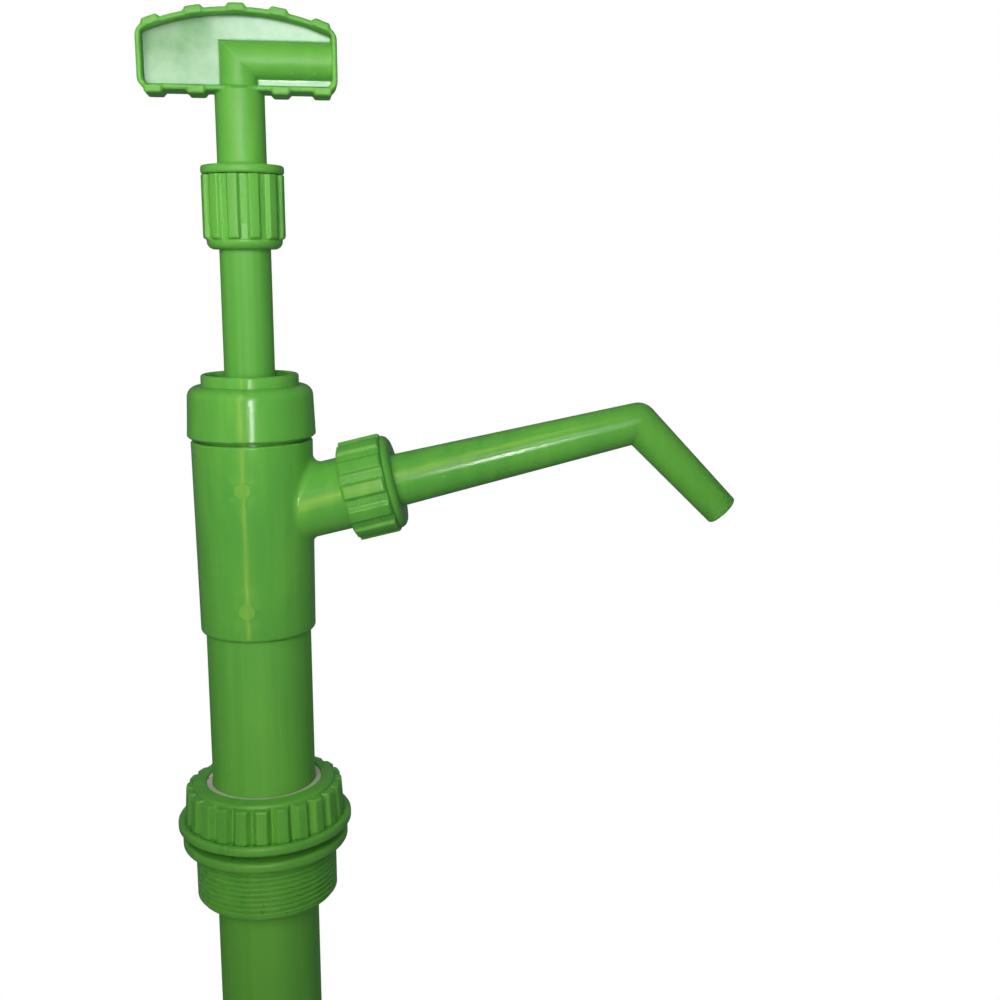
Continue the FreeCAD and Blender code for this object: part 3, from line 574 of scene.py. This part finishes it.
def green_handle(name):
    """The moulding's green with a satin skin; the thin web inside the rim is polished, its pale
    colour painted backlight.
    """
    material = green_moulding(name, 0.42, 0.00004)
    tree = material.node_tree
    shader = tree.nodes["Principled BSDF"]
    base = shader.inputs["Base Color"].links[0].from_socket
    place = linked(tree, "ShaderNodeTexCoord").outputs["Object"]
    turned = linked(tree, "ShaderNodeVectorRotate", {
        "Vector": place, "Angle": -GRIP_TURN}, rotation_type="Z_AXIS")
    axes = linked(tree, "ShaderNodeSeparateXYZ", {0: turned.outputs[0]}).outputs
    thin = remapped(tree, calculated(tree, "ABSOLUTE", axes["Y"], 0.0), 0.00155, 0.00165, 1, 0)
    across = remapped(tree, calculated(tree, "ABSOLUTE", axes["X"], 0.0), 0.0352, 0.0354, 1, 0)
    above = remapped(tree, axes["Z"], 0.3049, 0.3051, 0, 1)      # the rim's inner faces, in metres
    up = calculated(tree, "SUBTRACT", axes["Z"], ARCH_Z * MM)
    arch = linked(tree, "ShaderNodeCombineXYZ", {"X": axes["X"], "Z": up})
    reach = vector_maths(tree, "LENGTH", arch.outputs[0], output="Value")
    below = remapped(tree, reach, ARCH_R * MM - 0.0014, ARCH_R * MM - 0.0012, 1, 0)
    inside = calculated(tree, "MULTIPLY", calculated(tree, "MULTIPLY", thin, across),
                        calculated(tree, "MULTIPLY", above, below))
    cloud = stretched_noise(tree, 85, (1, 1, 1), 4, 0.6)
    # painted light: the web's pale colour stands in for the backdrop's light let through it
    painted_backlight = mixed_colour(tree, remapped(tree, cloud, 0.35, 0.65, 0, 1), WEB_PAINTED_BACKLIGHT_DEEP, WEB_PAINTED_BACKLIGHT)
    tree.links.new(mixed_colour(tree, inside, base, painted_backlight), shader.inputs["Base Color"])
    satin = shader.inputs["Roughness"].links[0].from_socket
    polish = remapped(tree, cloud, 0.3, 0.7, 0.09, 0.14)
    drop = calculated(tree, "MULTIPLY", calculated(tree, "SUBTRACT", polish, satin), inside)
    tree.links.new(calculated(tree, "ADD", satin, drop), shader.inputs["Roughness"])
    rough = shader.inputs["Normal"].links[0].from_socket
    flat = linked(tree, "ShaderNodeNewGeometry").outputs["Normal"]
    normal = linked(tree, "ShaderNodeMix", {0: inside, 4: rough, 5: flat}, data_type="VECTOR")
    tree.links.new(normal.outputs[1], shader.inputs["Normal"])
    return material


def plain_plastic(name, dark, light, roughness):
    """Cloudy dull plastic or rubber with a fine grain."""
    material, tree, shader = new_material(name)
    cloud = stretched_noise(tree, 60, (1, 1, 1), 4, 0.6)
    base = mixed_colour(tree, remapped(tree, cloud, 0.35, 0.65, 0, 1), dark, light)
    tree.links.new(base, shader.inputs["Base Color"])
    smear = stretched_noise(tree, 240, (1, 1, 1), 5)
    rough = remapped(tree, smear, 0.3, 0.7, roughness - 0.06, roughness + 0.08)
    tree.links.new(rough, shader.inputs["Roughness"])
    grit = stretched_noise(tree, 1800, (1, 1, 1), 3)
    tree.links.new(bumped(tree, [(grit, 0.00004)]), shader.inputs["Normal"])
    return material


def steel(name):
    """Polished steel with fine scratches."""
    material, tree, shader = new_material(name)
    scratch = stretched_noise(tree, 900, (1, 0.06, 1), 5, 0.7)
    base = mixed_colour(tree, remapped(tree, scratch, 0.3, 0.7, 0, 1), STEEL_DEEP, STEEL)
    tree.links.new(base, shader.inputs["Base Color"])
    tree.links.new(remapped(tree, scratch, 0.3, 0.7, 0.14, 0.30), shader.inputs["Roughness"])
    tree.links.new(bumped(tree, [(scratch, 0.00002)]), shader.inputs["Normal"])
    shader.inputs["Metallic"].default_value = 1.0
    return material


MATERIALS = {
    "moulding": green_moulding("green moulding"),
    "clamp nut": green_nut("green clamp nut", joint("clamp_nut_turn"), 0.0313, 0.0045, 0.0172),
    "rod nut": green_nut("green rod nut", joint("rod_nut_turn"), 0.0147, -0.0215, -0.0028, 0.36),
    "spout nut": green_nut(
        "green spout nut", joint("spout_nut_turn"), 0.0192, 0.0400, 0.0563, 0.24),
    "tube": green_tube("green drawn tube"),
    "handle": green_handle("green handle"),
    "bung": green_moulding("green bung adapter", 0.30),
    "white": plain_plastic("off-white ring", (0.50, 0.52, 0.44, 1), (0.66, 0.67, 0.60, 1), 0.45),
    "natural": plain_plastic("natural plastic", (0.62, 0.63, 0.58, 1), (0.76, 0.76, 0.72, 1), 0.40),
    "rubber": plain_plastic(
        "black rubber", (0.012, 0.012, 0.013, 1), (0.030, 0.030, 0.032, 1), 0.55),
    "steel": steel("polished steel"),
}

# Pieces that keep the frame's own shape
CARRIED = {
    "pump_tube": "tube", "rod": "tube",
    "tee_cap": "moulding", "tee_body": "moulding", "guide_bush": "moulding",
    "foot_body": "moulding",
    "clamp_ring": "white",
    "rod_stop": "natural", "piston_body": "natural", "piston_cage": "natural",
    "piston_seal": "natural", "foot_strainer": "natural",
    "cap_gasket": "rubber", "rod_wiper": "rubber", "spout_seal": "rubber", "stem_seal": "rubber",
    "foot_gasket": "rubber",
    "piston_ball": "steel", "foot_ball": "steel", "foot_pin": "steel",
}
for node, finish in CARRIED.items():
    for slot in frame["nodes"][node].material_slots:
        slot.material = MATERIALS[finish]

# Pieces built here: maker, the node that the piece replaces, body, material
MADE = [
    (make_bung_body, "bung_body", "bung", "bung"),
    (make_bung_nut, "bung_nut", "clamp_nut", "clamp nut"),
    (make_rod_nut, "rod_nut", "rod_union", "rod nut"),
    (make_spout_nut, "spout_nut", "spout_union", "spout nut"),
    (make_handle, "handle_grip", "handle", "handle"),
    (make_spout, "spout", "spout", "moulding"),
]
for make, node, body, finish in MADE:
    piece = make()
    piece.data.materials.append(MATERIALS[finish])
    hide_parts(node)
    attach(piece, body)


# ---- Floor, lights and camera ----------------------------------------------------------
def make_floor():
    """Pale round floor under the foot valve that fades into the backdrop at its rim."""
    radius, height = 6.0, cad_box[0].z
    rings, spokes = 24, 96
    points = [(0, 0, height)]
    for i in range(1, rings + 1):
        points += ring_row(radius * (i / rings) ** 1.5, height, full_turn(spokes)).tolist()
    faces = [(0, 1 + j, 1 + (j + 1) % spokes) for j in range(spokes)]
    for i in range(rings - 1):
        a, b = 1 + i * spokes, 1 + (i + 1) * spokes
        faces += [
            (a + j, b + j, b + (j + 1) % spokes, a + (j + 1) % spokes) for j in range(spokes)]
    mesh = bpy.data.meshes.new("floor")
    mesh.from_pydata(points, [], faces)
    floor = bpy.data.objects.new("floor", mesh)
    scene.collection.objects.link(floor)
    material, tree, shader = new_material("pale floor")
    shader.inputs["Base Color"].default_value = (0.90, 0.90, 0.90, 1)
    shader.inputs["Roughness"].default_value = 0.7
    shader.inputs["Specular IOR Level"].default_value = 0.1
    place = linked(tree, "ShaderNodeTexCoord").outputs["Object"]
    reach = vector_maths(tree, "LENGTH", place, output="Value")
    tree.links.new(remapped(tree, reach, 0.45, 1.15, 1.0, 0.0), shader.inputs["Alpha"])
    mesh.materials.append(material)


def make_world():
    """White to the camera, a dimmer cool room to everything else."""
    world = bpy.data.worlds.new("studio")
    world.use_nodes = True
    scene.world = world
    tree = world.node_tree
    shown = linked(tree, "ShaderNodeBackground", {"Color": (1, 1, 1, 1), "Strength": 1.0})
    room = linked(tree, "ShaderNodeBackground", {"Color": (0.80, 0.95, 1.0, 1), "Strength": 0.10})
    seen = linked(tree, "ShaderNodeLightPath").outputs["Is Camera Ray"]
    both = linked(tree, "ShaderNodeMixShader", {0: seen, 1: room.outputs[0], 2: shown.outputs[0]})
    tree.links.new(both.outputs[0], tree.nodes["World Output"].inputs["Surface"])


FLASH, AMBER, COOL = (1.0, 0.98, 0.97), (1.0, 0.80, 0.14), (0.90, 1.0, 1.0)
WARM, SOFT = (1.0, 0.97, 0.90), (1.0, 0.98, 0.92)


def area_light(name, place, aim, size, power, colour, spread, mirrored):
    """Rectangular lamp at place that points at aim."""
    light = bpy.data.lights.new(name, "AREA")
    light.spread = math.radians(spread)
    light.shape, light.size, light.size_y = "RECTANGLE", size[0], size[1]
    light.energy, light.color = power, colour
    lamp = bpy.data.objects.new(name, light)
    lamp.location = place
    lamp.rotation_mode = "QUATERNION"
    lamp.rotation_quaternion = (Vector(aim) - Vector(place)).to_track_quat("-Z", "Y")
    lamp.visible_glossy = mirrored
    scene.collection.objects.link(lamp)


CAMERA_PLACE, CAMERA_DOWN, CAMERA_LENS = (0.0991, -0.5016, 0.2399), 10.65, 45.54


def make_camera():
    """Looks along +Y, a little down, from just above the cap's height."""
    camera = bpy.data.objects.new("camera", bpy.data.cameras.new("camera"))
    camera.location = CAMERA_PLACE
    camera.rotation_euler = (math.radians(90 - CAMERA_DOWN), 0, 0)
    camera.data.sensor_width, camera.data.lens = 36.0, CAMERA_LENS
    camera.data.clip_start, camera.data.clip_end = 0.01, 50
    scene.collection.objects.link(camera)
    scene.camera = camera


# name, place, aim, size, watts, colour, spread in degrees, seen in reflections
LIGHTS = [
    ("flash", (0.10, -0.53, 0.21), (0.0, 0, 0.22), (0.026, 0.12), 0.17, FLASH, 100, True),
    ("broad front", (-0.06, -0.52, 0.40), (0, 0, 0.27), (0.40, 0.30), 0.64, WARM, 88, False),
    ("warm strip", (-0.20, -1.25, 0.95), (0, 0, 0.25), (0.05, 1.7), 3.0, AMBER, 180, True),
    ("warm strip, low", (-0.20, -1.25, -0.03), (0, 0, 0.15), (0.05, 0.75), 1.1, AMBER, 180, True),
    ("flash, spout", (0.15, -0.53, 0.262), (0.14, 0, 0.26), (0.06, 0.022), 0.025, FLASH, 100, True),
    ("web, right", (0.115, -0.53, 0.405), (0, 0, 0.32), (0.132, 0.075), 0.032, COOL, 60, True),
    ("web, foot", (0.009, -0.53, 0.379), (0, 0, 0.31), (0.080, 0.018), 0.004, COOL, 60, True),
    ("low front", (0.25, -1.6, -0.80), (0, 0, -0.68), (0.5, 0.5), 0.8, SOFT, 40, False),
    ("high front", (0.25, -1.6, 1.05), (0, 0, 0.95), (0.5, 0.5), 0.8, SOFT, 40, False),
    ("above", (0, 0.25, 1.5), (0, 0, 0), (1.2, 1.2), 1.0, (1.0, 1.0, 0.97), 140, False),
]
# Soft fills beside and behind the pump: metres from its axis, above and below the origin
FILL_AZIMUTHS, FILL_REACH, FILL_HEIGHT, FILL_SIZE, FILL_WATTS = (60, 90, 120), 1.3, 0.45, 0.9, 1.1
FILL_COLOUR = (1.0, 1.0, 0.95)

make_floor()
make_world()
make_camera()
for light in LIGHTS:
    area_light(*light)
for azimuth in FILL_AZIMUTHS:
    turn = math.radians(azimuth)
    for z in (FILL_HEIGHT, -FILL_HEIGHT):
        place = (math.cos(turn) * FILL_REACH, math.sin(turn) * FILL_REACH, z)
        area_light("fill", place, (0, 0, z * 0.7), (FILL_SIZE, FILL_SIZE), FILL_WATTS, FILL_COLOUR,
                   120, False)

scene.view_settings.view_transform = "Standard"
scene.view_settings.look = "None"
